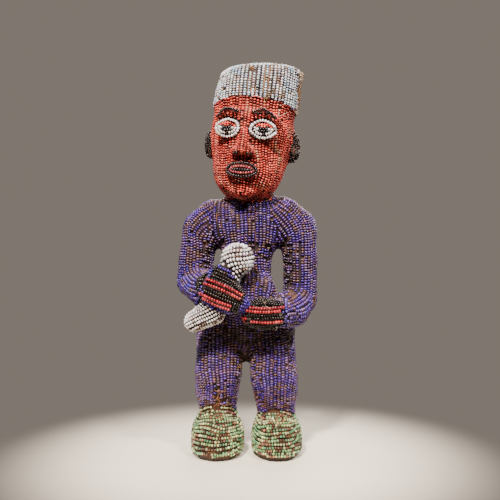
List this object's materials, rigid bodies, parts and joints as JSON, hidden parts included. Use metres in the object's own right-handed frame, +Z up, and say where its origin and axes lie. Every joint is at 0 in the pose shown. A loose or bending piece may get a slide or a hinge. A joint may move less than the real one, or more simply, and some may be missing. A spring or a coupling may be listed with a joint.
{
  "type": "beaded figure",
  "caption": "Standing human figure closely covered in rows of glass beads, with a flat-topped cap, bent knees, and a white gourd held in front with both hands.",
  "frame": {"origin": "on the ground under the middle of the figure's width and depth", "axes": "+Z up, -Y the way the figure faces, +X towards the figure's own left hand"},
  "size_m": [0.1538, 0.1226, 0.4127],
  "materials": {
    "body_beads": "opaque violet-blue glass beads, satin with small highlights",
    "face_beads": "opaque coral-red glass beads, satin",
    "cap_beads": "opaque pale blue-white glass beads, satin",
    "foot_beads": "opaque pale green glass beads, satin",
    "white_beads": "opaque white glass beads, satin",
    "black_beads": "opaque black and dark brown glass beads, satin",
    "red_beads": "opaque red glass beads, satin",
    "cloth": "brown woven plant-fibre cloth with sewing thread, matt and a little worn",
    "sole": "dark carved wood, matt"
  },
  "bodies": {
    "root": {"figure": "body_beads", "eye_ring_right": "white_beads", "brow_right": "black_beads", "eye_ring_left": "white_beads", "brow_left": "black_beads", "mouth_ring": "black_beads", "right_hand_red_row_1": "red_beads", "right_hand_red_row_2": "red_beads", "right_hand_red_row_3": "red_beads", "right_hand_red_row_4": "red_beads", "left_hand_red_row_1": "red_beads", "left_hand_red_row_2": "red_beads", "left_hand_red_row_3": "red_beads"}
  },
  "joints": []
}
